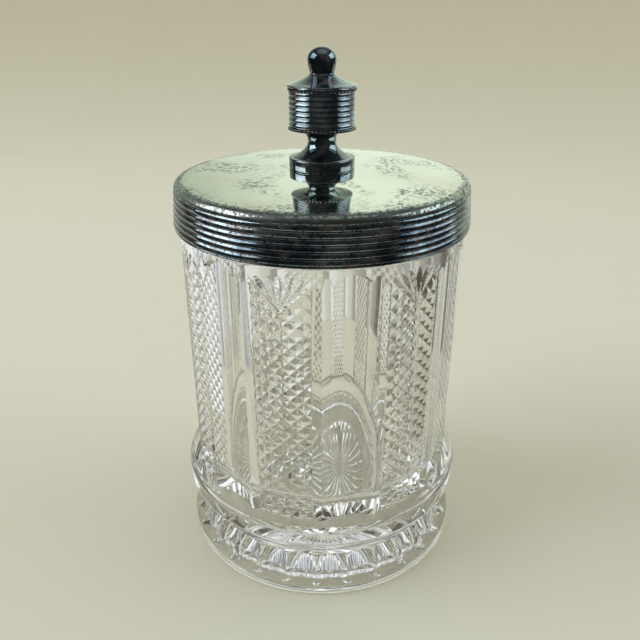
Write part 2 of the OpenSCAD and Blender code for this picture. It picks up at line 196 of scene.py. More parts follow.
@dataclass
class Turned:
    """A piece turned on a lathe, from a closed profile."""

    name: str
    profile: Sequence[Point]
    crest: Sequence[float] | None = None
    segments: int = 192
    crease: float = 32.0
    shape: Callable[[np.ndarray, np.ndarray, np.ndarray], np.ndarray] | None = None

    def build(self) -> Piece:
        """Makes the mesh, with how far each point stands out of its grooves kept as an attribute.

        Returns:
            The object.
        """
        angle = np.linspace(0, TURN, self.segments, endpoint=False)[None, :]
        radius, height = (np.repeat(part[:, None], self.segments, 1) for part in np.array(self.profile).T)
        if self.shape:
            radius = self.shape(radius, angle, height)
        points = np.stack([radius * np.sin(angle), -radius * np.cos(angle), height], -1).reshape(-1, 3)
        piece = make_piece(self.name, points, ring_faces(len(self.profile), self.segments, True), self.crease)
        crest = np.ones(len(self.profile)) if self.crest is None else np.array(self.crest)
        layer = piece.data.attributes.new("crest", "FLOAT", "POINT")
        layer.data.foreach_set("value", np.repeat(crest, self.segments).astype(np.float32))
        return piece


@dataclass(frozen=True)
class Pattern:
    """Uneven noise: its size in millimetres, finer layers and seed, and the levels it is stepped between."""

    size: float
    detail: float
    seed: float = 0.0
    low: float = 0.0
    high: float = 1.0
    strength: float = 1.0


class Recipe:
    """The node tree of a material or of the room, with short ways to add to it."""

    def __init__(self, owner: bpy.types.ID, output: str = "ShaderNodeOutputMaterial") -> None:
        """Starts an empty tree with its output.

        Args:
            owner: The material or the world that the tree belongs to.
            output: Type of the output node.
        """
        owner.use_nodes = True
        self.owner, self.tree = owner, owner.node_tree
        self.tree.nodes.clear()
        self.output = self.tree.nodes.new(output)

    def fill(self, socket: Socket, value: object) -> None:
        """Links a socket to an input, or sets the input to a constant.

        Args:
            socket: The input.
            value: An output socket or a constant.
        """
        if isinstance(value, Socket):
            self.tree.links.new(value, socket)
        elif isinstance(value, tuple) and socket.type == "RGBA":
            socket.default_value = (*value, 1.0)
        else:
            socket.default_value = value

    def add(self, kind: str, **inputs: object) -> bpy.types.Node:
        """Adds a node and fills its inputs by name.

        Args:
            kind: Type of the node.
            inputs: Values by input name, with underscores for spaces.

        Returns:
            The node.
        """
        node = self.tree.nodes.new(kind)
        for name, value in inputs.items():
            self.fill(node.inputs[name.replace("_", " ")], value)
        return node

    def vector(self, operation: str, first: Socket,
               second: Sequence[float] = (0.0, 0.0, 0.0)) -> bpy.types.Node:
        """Adds a sum on vectors.

        Args:
            operation: Kind of sum.
            first: First vector.
            second: Second vector, where the sum has one.

        Returns:
            The node.
        """
        node = self.add("ShaderNodeVectorMath", Vector=first)
        node.operation = operation
        node.inputs[1].default_value = second
        return node

    def place(self, stretch: Colour = (1.0, 1.0, 1.0)) -> Socket:
        """Position on the piece, stretched along the axes."""
        return self.vector("MULTIPLY", self.add("ShaderNodeTexCoord").outputs["Object"], stretch).outputs[0]

    def away(self, stretch: Colour = (1.0, 1.0, 0.0)) -> Socket:
        """Distance from the axis, or from the origin with an even stretch."""
        return self.vector("LENGTH", self.place(stretch)).outputs["Value"]

    def noise(self, where: Socket, pattern: Pattern) -> Socket:
        """Bare noise of a pattern.

        Args:
            where: Position socket in metres.
            pattern: The pattern.

        Returns:
            The noise value.
        """
        node = self.tree.nodes.new("ShaderNodeTexNoise")
        node.noise_dimensions = "4D"
        inputs = {"Vector": where, "W": pattern.seed, "Scale": 1 / (pattern.size * MM),
                  "Detail": pattern.detail}
        for name, value in inputs.items():
            self.fill(node.inputs[name], value)
        return node.outputs["Fac"]

    def mottle(self, where: Socket, pattern: Pattern) -> Socket:
        """Noise of a pattern, stepped between its levels."""
        return self.ramp(self.noise(where, pattern), pattern.low, pattern.high, 0.0, pattern.strength)

    def ramp(self, value: Socket, low: float, high: float, start: float = 0.0, end: float = 1.0) -> Socket:
        """Soft step of a value.

        Args:
            value: The value.
            low: Value that gives the start.
            high: Value that gives the end.
            start: Result at and below low.
            end: Result at and above high.

        Returns:
            The stepped value.
        """
        node = self.add("ShaderNodeMapRange", Value=value)
        node.interpolation_type = "SMOOTHSTEP"
        for name, limit in {"From Min": low, "From Max": high, "To Min": start, "To Max": end}.items():
            node.inputs[name].default_value = limit
        return node.outputs["Result"]

    def over(self, length: Socket, span: Span) -> Socket:
        """Soft step of a length between two lengths in millimetres."""
        return self.ramp(length, span[0] * MM, span[1] * MM)

    def sum(self, operation: str, first: object, second: object) -> Socket:
        """Result of a sum on two values, kept from 0 to 1.

        Args:
            operation: Kind of sum.
            first: First value.
            second: Second value.

        Returns:
            The result.
        """
        node = self.tree.nodes.new("ShaderNodeMath")
        node.operation, node.use_clamp = operation, True
        self.fill(node.inputs[0], first)
        self.fill(node.inputs[1], second)
        return node.outputs[0]

    def times(self, first: object, second: object) -> Socket:
        """Product of two values, kept from 0 to 1."""
        return self.sum("MULTIPLY", first, second)

    def blend(self, share: object, first: object, second: object) -> Socket:
        """Colour between two colours.

        Args:
            share: Share of the second colour.
            first: First colour.
            second: Second colour.

        Returns:
            The colour.
        """
        node = self.tree.nodes.new("ShaderNodeMix")
        node.data_type, node.clamp_factor = "RGBA", True
        for number, value in ((0, share), (6, first), (7, second)):
            self.fill(node.inputs[number], value)
        return node.outputs[2]

    def bump(self, height: Socket, depth: float) -> Socket:
        """Normal of a surface with fine relief, from its height from 0 to 1 and its depth in millimetres."""
        return self.add("ShaderNodeBump", Height=height, Distance=depth * MM, Strength=1.0).outputs["Normal"]

    def surface(self, **inputs: object) -> Socket:
        """Adds a surface and fills its inputs by name."""
        return self.add("ShaderNodeBsdfPrincipled", **inputs).outputs[0]

    def finish(self, shader: Socket) -> bpy.types.ID:
        """Links the shader to the output and returns the tree's owner."""
        self.fill(self.output.inputs["Surface"], shader)
        return self.owner


@dataclass(frozen=True)
class ClearGlass:
    """Clear pressed glass with a faint ripple and a slightly cloudy inside.

    Some lamp light passes straight through, and more of it at the foot.
    """

    tint: Colour = (0.985, 0.985, 0.975)
    index: float = 1.52
    shade: Colour = (0.5, 0.48, 0.43)
    foot_shade: Colour = (0.64, 0.62, 0.56)
    foot_z: Span = (15.0, 27.0)
    cloudy: float = 0.05
    inside_r: Span = (38.6, 38.2)
    inside_z: Span = (20.0, 24.0)
    smear: Pattern = Pattern(14.0, 4.0, 2.0, 0.5, 0.8, 0.03)
    ripple: Pattern = Pattern(9.0, 1.0)
    ripple_depth: float = 0.02

    def make(self) -> Material:
        """Makes the material.

        Returns:
            The material.
        """
        recipe = Recipe(bpy.data.materials.new("clear_pressed_glass"))
        where = recipe.place()
        height = recipe.add("ShaderNodeSeparateXYZ", Vector=where).outputs["Z"]
        inside = recipe.times(recipe.over(recipe.away(), self.inside_r), recipe.over(height, self.inside_z))
        rough = recipe.sum("MAXIMUM", recipe.mottle(where, self.smear), recipe.times(inside, self.cloudy))
        glass = recipe.surface(Base_Color=self.tint, Roughness=rough, IOR=self.index, Transmission_Weight=1.0,
                               Normal=recipe.bump(recipe.noise(where, self.ripple), self.ripple_depth))
        shade = recipe.blend(recipe.over(height, self.foot_z), self.foot_shade, self.shade)
        through = recipe.add("ShaderNodeBsdfTransparent", Color=shade).outputs[0]
        shadow = recipe.add("ShaderNodeLightPath").outputs["Is Shadow Ray"]
        mix = recipe.add("ShaderNodeMixShader", Fac=shadow)
        recipe.fill(mix.inputs[1], glass)
        recipe.fill(mix.inputs[2], through)
        return recipe.finish(mix.outputs[0])


@dataclass(frozen=True)
class SpottedPlate:
    """Polished silver plate with tarnish blotches, black pits and a dark speckled ring at its rim."""

    silver: Colour = (0.86, 0.89, 0.81)
    straw: Colour = (0.62, 0.56, 0.42)
    tarnish: Colour = (0.1, 0.11, 0.1)
    film: Colour = (0.15, 0.18, 0.17)
    polish: Span = (0.05, 0.3)
    ring: Span = (34.0, 42.0)
    brow: Span = (42.5, 43.4)
    brow_wander: float = 3.0
    brow_cover: Span = (0.55, 0.97)
    brow_dull: Span = (0.1, 0.4)
    ragged: Pattern = Pattern(1.6, 4.0, 2.0)
    speckle: Pattern = Pattern(0.9, 4.0, 8.0, 0.42, 0.62)
    cloud: Pattern = Pattern(14.0, 3.0, 1.3, 0.47, 0.63)
    grain: Pattern = Pattern(1.2, 4.0, 4.0, 0.44, 0.6, 0.85)
    pits: Pattern = Pattern(0.6, 2.0, 7.0, 0.66, 0.76, 0.7)
    fine: Pattern = Pattern(0.5, 3.0, 9.0, 0.5, 0.66, 0.8)
    warm: Pattern = Pattern(26.0, 4.0, 5.0, 0.42, 0.72, 0.45)
    wiped: Pattern = Pattern(0.5, 3.0, 3.0, 0.5, 0.9, 0.1)
    wiped_along: Colour = (1.0, 0.06, 1.0)
    dents: Pattern = Pattern(11.0, 1.0, 6.0)
    dent_depth: float = 0.05

    def make(self) -> Material:
        """Makes the material.

        Returns:
            The material.
        """
        recipe = Recipe(bpy.data.materials.new("spotted_silver_plate"))
        where, away = recipe.place(), recipe.away()
        rim = recipe.over(away, self.ring)
        wander = recipe.times(recipe.noise(where, self.ragged), self.brow_wander * MM)
        brow = recipe.over(recipe.sum("ADD", away, wander), self.brow)
        speckle = recipe.mottle(where, self.speckle)
        blotch = recipe.times(recipe.mottle(where, self.cloud), recipe.mottle(where, self.grain))
        edge = recipe.times(recipe.times(rim, rim), recipe.mottle(where, self.fine))
        dark = recipe.sum("MAXIMUM", recipe.sum("MAXIMUM", blotch, recipe.mottle(where, self.pits)), edge)
        colour = recipe.blend(recipe.mottle(where, self.warm), self.silver, self.straw)
        colour = recipe.blend(dark, colour, self.tarnish)
        covered = recipe.times(brow, recipe.ramp(speckle, 0.0, 1.0, *self.brow_cover))
        colour = recipe.blend(covered, colour, self.film)
        rough = recipe.sum("ADD", recipe.ramp(dark, 0.0, 1.0, *self.polish),
                           recipe.mottle(recipe.place(self.wiped_along), self.wiped))
        dull = recipe.times(brow, recipe.ramp(speckle, 0.0, 1.0, *self.brow_dull))
        dents = recipe.bump(recipe.noise(where, self.dents), self.dent_depth)
        return recipe.finish(recipe.surface(Base_Color=colour, Metallic=1.0, Normal=dents,
                                            Roughness=recipe.sum("ADD", rough, dull)))


@dataclass(frozen=True)
class DarkPlate:
    """Silver plate under a dark blue-black tarnish, worn bright on its crests and black in its grooves."""

    worn: Colour = (0.3, 0.37, 0.4)
    film: Colour = (0.05, 0.08, 0.105)
    groove: Colour = (0.015, 0.015, 0.018)
    copper: Colour = (0.17, 0.055, 0.04)
    polish: Span = (0.08, 0.3)
    metal: Span = (0.97, 0.7)
    crests: Span = (0.0, 0.4)
    cloud: Pattern = Pattern(8.0, 5.0, 1.0, 0.35, 0.7)
    rubbed: Pattern = Pattern(4.0, 5.0, 8.0, 0.48, 0.7, 0.5)
    pits: Pattern = Pattern(0.7, 4.0, 3.0, 0.5, 0.66)
    pitted: float = 0.85
    dents: Pattern = Pattern(2.2, 2.0, 6.0)
    dent_depth: float = 0.02

    def make(self) -> Material:
        """Makes the material.

        Returns:
            The material.
        """
        recipe = Recipe(bpy.data.materials.new("dark_silver_plate"))
        where = recipe.place()
        crest = recipe.add("ShaderNodeAttribute")
        crest.attribute_name = "crest"
        stands = recipe.ramp(crest.outputs["Fac"], *self.crests)
        rubbed = recipe.mottle(where, self.rubbed)
        pits = recipe.times(recipe.mottle(where, self.pits), self.pitted)
        plate = recipe.blend(recipe.mottle(where, self.cloud), self.worn, self.film)
        plate = recipe.blend(pits, recipe.blend(rubbed, plate, self.copper), self.groove)
        rough = recipe.sum("MAXIMUM", pits, recipe.sum("SUBTRACT", 1.0, stands))
        return recipe.finish(recipe.surface(
            Base_Color=recipe.blend(stands, self.groove, plate),
            Metallic=recipe.ramp(rubbed, 0.0, self.rubbed.strength, *self.metal),
            Roughness=recipe.ramp(rough, 0.0, 1.0, *self.polish),
            Normal=recipe.bump(recipe.noise(where, self.dents), self.dent_depth)))


@dataclass(frozen=True)
class DullSteel:
    """Plain dull steel with fine turning marks and some rust in its pits."""

    bright: Colour = (0.52, 0.52, 0.51)
    dull: Colour = (0.28, 0.27, 0.25)
    rust: Colour = (0.2, 0.1, 0.05)
    polish: Span = (0.35, 0.8)
    metal: Span = (1.0, 0.2)
    cloud: Pattern = Pattern(1.5, 4.0, 1.0)
    rusty: Pattern = Pattern(1.1, 4.0, 2.0, 0.58, 0.75)
    marks: Pattern = Pattern(0.12, 2.0)
    marks_along: Colour = (0.1, 0.1, 1.0)
    mark_depth: float = 0.02

    def make(self) -> Material:
        """Makes the material.

        Returns:
            The material.
        """
        recipe = Recipe(bpy.data.materials.new("dull_steel"))
        where = recipe.place()
        rust = recipe.mottle(where, self.rusty)
        colour = recipe.blend(recipe.noise(where, self.cloud), self.bright, self.dull)
        marks = recipe.noise(recipe.place(self.marks_along), self.marks)
        return recipe.finish(recipe.surface(
            Base_Color=recipe.blend(rust, colour, self.rust),
            Metallic=recipe.ramp(rust, 0.0, 1.0, *self.metal),
            Roughness=recipe.ramp(rust, 0.0, 1.0, *self.polish),
            Normal=recipe.bump(marks, self.mark_depth)))


@dataclass(frozen=True)
class PalePaper:
    """Pale beige paper of the table top, with a faint mottle and grain, and painted shade that darkens it
    away from the jar.
    """

    # near is the paper's own colour by the jar; far is the same paper with painted shade, for the lamp light
    # falling off
    near: Colour = (0.8, 0.79, 0.68)
    far: Colour = (0.62, 0.59, 0.45)
    reach: Span = (250.0, 1500.0)
    cloud: Pattern = Pattern(60.0, 5.0)
    clouded: float = 0.1
    grain: Pattern = Pattern(0.8, 2.0, 1.0)
    grain_depth: float = 0.02
    rough: float = 0.85

    def make(self) -> Material:
        """Makes the material.

        Returns:
            The material.
        """
        recipe = Recipe(bpy.data.materials.new("pale_paper_painted_shade"))
        where = recipe.place()
        # Painted shade: the colour goes from near to far with distance from the jar, in place of lamp light
        # that falls off
        deep = recipe.over(recipe.away((1.0, 1.0, 1.0)), self.reach)
        share = recipe.sum("ADD", deep, recipe.times(recipe.noise(where, self.cloud), self.clouded))
        grain = recipe.bump(recipe.noise(where, self.grain), self.grain_depth)
        return recipe.finish(recipe.surface(Base_Color=recipe.blend(share, self.near, self.far),
                                            Roughness=self.rough, Normal=grain))


def settle(piece: Piece, node: str, body: Body, material: Material) -> Piece:
    """Dresses a piece and puts it in the place of a node.

    Args:
        piece: The finer mesh.
        node: Node that it takes the place of.
        body: Body that it rides on.
        material: Its material.

    Returns:
        The piece.
    """
    piece.data.materials.append(material)
    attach(piece, body.value)
    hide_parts(node)
    return piece


def node_span(node: str) -> tuple[float, float, float]:
    """Radius, foot height and top height of a round node, in millimetres."""
    low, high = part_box(node)
    return max(high.x, high.y) / MM, low.z / MM, high.z / MM


@dataclass
class GlassJar:
    """The jar: diamond panels, ribs and clear flutes over a ring, a cove and a fluted, starred foot.

    It is made as one sector, from the middle of a clear flute to the middle of the next, and repeated.
    """

    panels: int = 7
    ring_out: float = 3.8
    waist_out: float = -1.8
    foot_out: float = 3.6
    neck_step: float = 1.0
    neck_wall: float = 4.3
    ledge_z: float = 27.0
    ring_z: float = 19.6
    ring_edge: float = 1.8
    cove_out: float = 3.8
    cove_z: float = 11.8
    wall_r: float = 46.0
    foot_z: float = 3.0
    foot_edge: float = 0.8
    standing_width: float = 5.1
    foot_flutes: int = 28
    foot_flute_depth: float = 2.4
    foot_land: float = 0.8
    least_land: float = 0.003
    flute_share: float = 0.4
    runout: float = 1.4
    shelf_steps: tuple[float, ...] = (0.3, 0.65)
    ledge_steps: tuple[float, ...] = (0.25, 0.5, 0.75, 0.94)
    recess: float = 0.5
    recess_blunt: float = 0.2
    under_rows: Span = (36.0, 44.0)
    star_heart: float = 4.0
    star_r: float = 27.0
    star_depth: float = 1.6
    star_land: float = 1.0
    star_edge: float = 0.05
    floor_z: float = 27.5
    floor_corner: float = 7.0
    floor_rows: tuple[float, ...] = (24.0, 16.0, 8.0, 2.0)
    rim_round: float = 1.6
    shoulder: Point = (0.06, 0.64)
    shoulder_root: Point = (0.15, 0.36)
    neck_drop: float = 0.2
    neck_lap: float = 0.4
    band_out: float = 0.08
    band_drop: float = 0.8
    panel_half: float = math.radians(11.22)
    panel_edge: float = 0.002
    rib_angle: float = math.radians(7.41)
    rib_drop: float = 1.3
    rib_low: float = 103.7
    rib_high: float = 106.3
    rib_round: float = 1.0
    rib_columns: int = 4
    arch_z: float = 107.3
    arch_rise: float = 3.0
    head_slope: float = 0.5
    flute_sag: float = 0.75
    flute_columns: int = 7
    groove_drop: float = 0.9
    diamond_rise: float = 0.7
    diamonds: int = 4
    half_row: float = 2.05
    bevel: float = 0.8
    fan_rays: int = 5
    fan_turn: float = math.radians(4.33)
    fan_fall: float = 0.3
    fan_heart: float = 0.6
    fan_root: float = 0.24
    ray_half: float = 1.15
    ray_depth: float = 1.1
    ray_wide: float = 0.68
    ray_taper: float = 0.8
    fine: int = 6
    level: float = 0.001
    crease: float = 26.0
    finish: ClearGlass = field(default_factory=ClearGlass)

    def __post_init__(self) -> None:
        """Takes the outer sizes from the frame and works out the others."""
        self.ring_r, _, self.height = node_span("glass_jar")
        self.body_r = self.ring_r - self.ring_out
        self.foot_r = self.body_r + self.foot_out
        self.waist_r = self.body_r + self.waist_out
        self.neck_r = self.body_r - self.neck_step
        self.hollow_r = self.neck_r - self.neck_wall
        self.band_r = self.body_r + self.band_out
        self.skirt_z = node_span("lid_band")[1]
        self.sector = TURN / self.panels
        self.each = self.foot_flutes // self.panels
        self.turn = self.sector / self.each
        self.crest = self.panel_half + self.rib_angle / 2
        self.rib_end = self.panel_half + self.rib_angle
        self.groove_r = self.body_r - self.groove_drop
        self.point_z = self.rib_low - self.diamonds * self.half_row

    def columns(self) -> np.ndarray:
        """Angles of the columns of one sector, from the middle of its panel.

        Returns:
            The angles.
        """
        edge, rib, flute = self.panel_half + self.panel_edge, self.rib_columns, self.flute_columns
        panel = 2 * self.diamonds * self.fine
        steps = [(-self.sector / 2, flute), (-self.rib_end, rib), (-self.crest, rib), (-edge, 1),
                 (-self.panel_half, panel), (self.panel_half, 1), (edge, rib), (self.crest, rib),
                 (self.rib_end, flute), (self.sector / 2, 0)]
        return np.concatenate([np.linspace(here, there, count, endpoint=False)
                               for (here, count), (there, _) in zip(steps, steps[1:])])

    def cut_radius(self, angle: np.ndarray) -> np.ndarray:
        """Radius of the ribs and the flutes, without panels.

        Args:
            angle: Angles from the middle of the panel.

        Returns:
            The radius for each angle.
        """
        away, foot = np.abs(angle), self.body_r - self.rib_drop
        half = self.sector / 2 - self.rib_end
        inner = chord_radius((foot, self.panel_half), (self.body_r, self.crest), away)
        outer = chord_radius((self.body_r, self.crest), (foot, self.rib_end), away)
        cut = bow_radius(foot * math.sin(half), self.flute_sag)
        flute = hollow_radius(foot * math.cos(half) - self.flute_sag + cut, cut, self.sector / 2 - away)
        return np.where(away < self.crest, inner, np.where(away < self.rib_end, outer, flute))

    def head_height(self, angle: np.ndarray) -> np.ndarray:
        """Height of the rounded heads of the ribs and the flutes.

        Args:
            angle: Angles from the middle of the panel.

        Returns:
            The height for each angle.
        """
        away = np.abs(angle)
        facet = self.rib_angle / 4

        def head(middle: float, half: float, top: float, rise: float) -> np.ndarray:
            """Height of one head.

            Args:
                middle: Angle of its middle.
                half: Angle from there to its edge.
                top: Height of its top.
                rise: Rise of its arch.

            Returns:
                The height for each angle.
            """
            width = half * self.body_r
            radius = bow_radius(width, rise)
            across = np.clip((away - middle) * self.body_r, -width, width)
            return top - radius + np.sqrt(radius ** 2 - across ** 2)

        inner = head(self.panel_half + facet, facet, self.rib_low, self.rib_round)
        outer = head(self.crest + facet, facet, self.rib_high, self.rib_round)
        flute = head(self.sector / 2, self.sector / 2 - self.rib_end, self.arch_z, self.arch_rise)
        return np.where(away <= self.crest, inner, np.where(away < self.rib_end - TINY, outer, flute))

    def panel_radius(self, angle: np.ndarray, height: np.ndarray) -> np.ndarray:
        """Radius of a panel: diamond points under a V-shaped border, and a fan of mitres over it.

        Args:
            angle: Angles from the middle of the panel.
            height: Heights, of the same shape.

        Returns:
            The radius for each place.
        """
        u = angle / self.panel_half * self.diamonds
        v = (height - self.point_z) / self.half_row
        lean = [np.abs(np.mod(side, 2) - 1) for side in (u + v, u - v)]
        diamonds = self.groove_r + self.diamond_rise * (1 - np.maximum(*lean))
        border = np.clip((v - np.abs(u)) / self.bevel, 0, 1)
        above = self.groove_r + (self.band_r - self.groove_r) * border
        return np.where(v <= np.abs(u), diamonds, above - self.fan_depth(angle, height) * border)

    def fan_depth(self, angle: np.ndarray, height: np.ndarray) -> np.ndarray:
        """Depth of the fan of leaf-shaped mitres.

        Args:
            angle: Angles from the middle of the panel.
            height: Heights, of the same shape.

        Returns:
            The depth for each place.
        """
        deepest = np.zeros_like(height)
        across, heart = angle * self.body_r, self.point_z + self.fan_heart
        for ray in np.arange(self.fan_rays) - (self.fan_rays - 1) / 2:
            tip = (ray * self.fan_turn * self.body_r, self.rib_high - self.fan_fall * abs(ray) - heart)
            length = math.hypot(*tip)
            along = (across * tip[0] + (height - heart) * tip[1]) / length ** 2
            aside = np.abs(across * tip[1] - (height - heart) * tip[0]) / length
            grown = np.clip((along - self.fan_root) / (self.ray_wide - self.fan_root), 0, 1)
            shut = np.clip((1 - along) / (1 - self.ray_wide), 0, 1)
            share = np.where(along < self.ray_wide, grown ** self.ray_taper, np.sqrt(shut))
            depth = self.ray_depth * share * (1 - aside / np.maximum(self.ray_half * share, TINY))
            deepest = np.maximum(deepest, np.where(share > 0, depth, 0))
        return deepest

    def body_rows(self) -> Rows:
        """Points of the patterned body in one sector, from the ledge to the shoulder.

        Returns:
            Angles, radii and heights, by row and column.
        """
        pitch = self.half_row / self.fine
        below = np.arange(self.rib_low, self.ledge_z + pitch / 3, -pitch)[::-1]
        top = self.skirt_z - self.band_drop
        above = np.linspace(self.rib_low, top, round((top - self.rib_low) / pitch) + 1)[1:]
        angle = self.columns()
        angles, heights = np.meshgrid(angle, np.concatenate([[self.ledge_z], below, above]))
        on_panel = np.abs(angle) <= self.panel_half + TINY
        cut, head = self.cut_radius(angle), self.head_height(angle)
        foot = head - self.head_slope * (self.band_r - cut)
        growth = (foot - self.point_z) / (self.rib_low - self.point_z)
        lower = self.point_z + (heights - self.point_z) * growth
        upper = head + (heights - above[0]) * (top - head) / (top - above[0])
        high = heights > self.rib_low + TINY
        warped = np.where(high, upper, np.where(heights > self.point_z, lower, heights))
        radii = np.where(on_panel, self.panel_radius(angles, heights), np.where(high, self.band_r, cut))
        return angles, radii, np.where(on_panel, heights, warped)

    def foot_angles(self, half: float) -> np.ndarray:
        """Angles of a row of the foot, with an edge of each flute on a column.

        Args:
            half: Angle from the middle of a flute to its edge.

        Returns:
            The angles of one sector.
        """
        count = len(self.columns()) // self.each
        place = np.arange(count) - count / 2
        edge = self.flute_share * count
        land = (np.abs(place) - edge) / (count / 2 - edge)
        outer = np.sign(place) * (half + (self.turn / 2 - half) * land)
        aside = np.where(np.abs(place) <= edge, half * place / edge, outer)
        flutes = [(flute + 0.5) * self.turn + aside for flute in range(self.each)]
        return np.concatenate(flutes) - self.sector / 2

    def plain(self, points: Sequence[Point], angles: np.ndarray | None = None) -> list[Rows]:
        """Rows of a plain round stretch.

        Args:
            points: Profile points.
            angles: Angles of the columns, or none for the foot's even ones.

        Returns:
            Angles, radii and heights of each row.
        """
        if angles is None:
            angles = self.foot_angles(self.flute_share * self.turn)
        return [(angles, np.full_like(angles, r), np.full_like(angles, z)) for r, z in points]

    def star_rows(self) -> list[Rows]:
        """Rows under the foot, from the star's heart to the edge of its rays.

        Returns:
            Angles, radii and heights of each row.
        """
        rows, widest = [], self.star_r * math.sin(self.turn / 2) - self.star_land / 2
        stretch = straight((self.star_heart, self.recess), (self.star_r, self.recess), 10)
        for angles, radii, heights in self.plain(stretch):
            share = (radii[0] - self.star_heart) / (self.star_r - self.star_heart)
            aside = np.abs(np.mod(angles + self.turn / 2, self.turn) - self.turn / 2) * radii
            ray = np.clip(1 - aside / max(widest * share, TINY), 0, 1)
            rows.append((angles, radii, heights + self.star_depth * share * ray))
        return rows

    def foot_rows(self) -> list[Rows]:
        """Rows of the fluted foot, from the shelf of its rim to the waist.

        Returns:
            Angles, radii and heights of each row.
        """
        half_turn = self.turn / 2
        cut = bow_radius(self.wall_r * math.sin(half_turn) - self.foot_land / 2,
                         self.foot_flute_depth - self.wall_r * (1 - math.cos(half_turn)))
        rows = []
        heights = np.concatenate([np.linspace(self.foot_z, self.cove_z - self.runout, 9)[:-1],
                                  self.cove_z - self.runout * np.cos(np.linspace(0, math.pi / 2, 8))])
        for height in heights:
            climb = (height - self.foot_z) / (self.cove_z - self.foot_z)
            wall = self.wall_r + (self.waist_r - self.wall_r) * climb
            centre = wall - self.foot_flute_depth + cut
            meets = math.acos((centre ** 2 + wall ** 2 - cut ** 2) / (2 * centre * wall))
            half = min(meets, half_turn - self.least_land)
            angles = self.foot_angles(half)
            aside = np.mod(angles, self.turn) - half_turn
            spent = max((height - self.cove_z) / self.runout + 1, 0)
            flute = hollow_radius(centre, cut, aside)
            flute += (wall - flute) * (1 - math.sqrt(max(1 - spent ** 2, 0)))
            radii = np.where(np.abs(aside) <= half + TINY, flute, wall)
            rows.append((angles, radii, np.full_like(angles, height)))
        angles, radii, heights = rows[0]
        shelf = self.foot_r - self.foot_edge
        return [(angles, shelf + (radii - shelf) * t, heights) for t in self.shelf_steps] + rows

    def outside_rows(self) -> list[Rows]:
        """Rows from the star under the foot, up over the foot and the ring to the ledge.

        Returns:
            Angles, radii and heights of each row.
        """
        edge, recess, blunt = self.foot_edge, self.recess, self.recess_blunt
        stand, ring = self.foot_r - edge, self.ring_r - self.ring_edge
        inner = stand - self.standing_width
        under = [(self.star_r + self.star_edge, recess), (self.under_rows[0], recess),
                 (inner - recess - 2 * blunt, recess), (inner - recess, recess - 0.75 * blunt),
                 (inner - blunt, blunt), (inner + 1.5 * blunt, 0.0), (self.under_rows[1], 0.0)]
        rim = arc((stand, edge), edge, -90, 0, 5) + arc((stand, self.foot_z - edge), edge, 0, 90, 5)
        cove = [(self.waist_r + self.cove_out * t ** 2, self.cove_z + (self.ring_z - self.cove_z) * t)
                for t in np.linspace(0.12, 0.96, 7)]
        cove += arc((ring, self.ring_z + self.ring_edge), self.ring_edge, -90, 0, 7)
        cove += arc((ring, self.ledge_z - self.ring_edge), self.ring_edge, 0, 90, 7)
        return self.star_rows() + self.plain(under + rim) + self.foot_rows() + self.plain(cove)

    def inside_rows(self) -> list[Rows]:
        """Rows from the shoulder over the mouth, down into the hollow and across its floor.

        Returns:
            Angles, radii and heights of each row.
        """
        rim, turn, hollow = self.rim_round, self.height - self.rim_round, self.hollow_r
        corner = (hollow - self.floor_corner, self.floor_z + self.floor_corner)
        points = [(self.band_r - self.shoulder[0], self.skirt_z - self.shoulder[1]),
                  (self.neck_r + self.shoulder_root[0], self.skirt_z - self.shoulder_root[1]),
                  (self.neck_r, self.skirt_z - self.neck_drop)]
        points += straight((self.neck_r, self.skirt_z + self.neck_lap), (self.neck_r, turn), 4)[:-1]
        points += arc((self.neck_r - rim, turn), rim, 0, 90, 8) + arc((hollow + rim, turn), rim, 90, 180, 8)
        points += straight((hollow, turn), (hollow, corner[1]), 12)[1:-1]
        points += arc(corner, self.floor_corner, 0, -90, 14) + [(r, self.floor_z) for r in self.floor_rows]
        return self.plain(points, self.columns())

    def rows(self) -> Rows:
        """All rows of one sector, from under the foot, up the outside and down into the hollow.

        Returns:
            Angles, radii and heights, by row and column.
        """
        base, body, tail = self.outside_rows(), self.body_rows(), self.inside_rows()
        first = [part[0] for part in body]
        base += [tuple(a + (b - a) * t for a, b in zip(base[-1], first)) for t in self.ledge_steps]
        return tuple(np.concatenate([np.stack([row[part] for row in base]), body[part],
                                     np.stack([row[part] for row in tail])]) for part in range(3))

    def build(self) -> list[Piece]:
        """Makes the jar and dresses it.

        Returns:
            The jar.
        """
        angles, radii, heights = self.rows()
        count, width = angles.shape
        around = np.concatenate([angles + sector * self.sector for sector in range(self.panels)], 1)
        radii, heights = (np.tile(part, (1, self.panels)) for part in (radii, heights))
        columns = width * self.panels
        skin = np.stack([radii * np.sin(around), -radii * np.cos(around), heights], -1).reshape(-1, 3)
        points = np.concatenate([skin, [[0, 0, self.recess], [0, 0, self.floor_z]]])
        quads = ring_faces(count, columns, False)
        low, lowest = radii.reshape(-1)[quads], heights.reshape(-1)[quads].min(1)
        flip = low[:, 0] + low[:, 2] > low[:, 1] + low[:, 3]
        middle = around.reshape(-1)[quads].mean(1) + self.sector / 2
        on_panel = np.abs(np.mod(middle, self.sector) - self.sector / 2) < self.panel_half
        split = on_panel & (np.ptp(low, 1) > self.level) & (lowest > self.ledge_z)
        faces = quads[~split].tolist()
        ways = ((split & ~flip, ((0, 1, 2), (0, 2, 3))), (split & flip, ((0, 1, 3), (1, 2, 3))))
        for chosen, corners in ways:
            for corner in corners:
                faces += quads[chosen][:, corner].tolist()
        after = (np.arange(columns) + 1) % columns
        end = (count - 1) * columns
        faces += [[count * columns, b, a] for a, b in enumerate(after)]
        faces += [[end + a, end + b, count * columns + 1] for a, b in enumerate(after)]
        jar = make_piece("pressed_glass_jar", points, faces, self.crease)
        return [settle(jar, "glass_jar", Body.JAR, self.finish.make())]


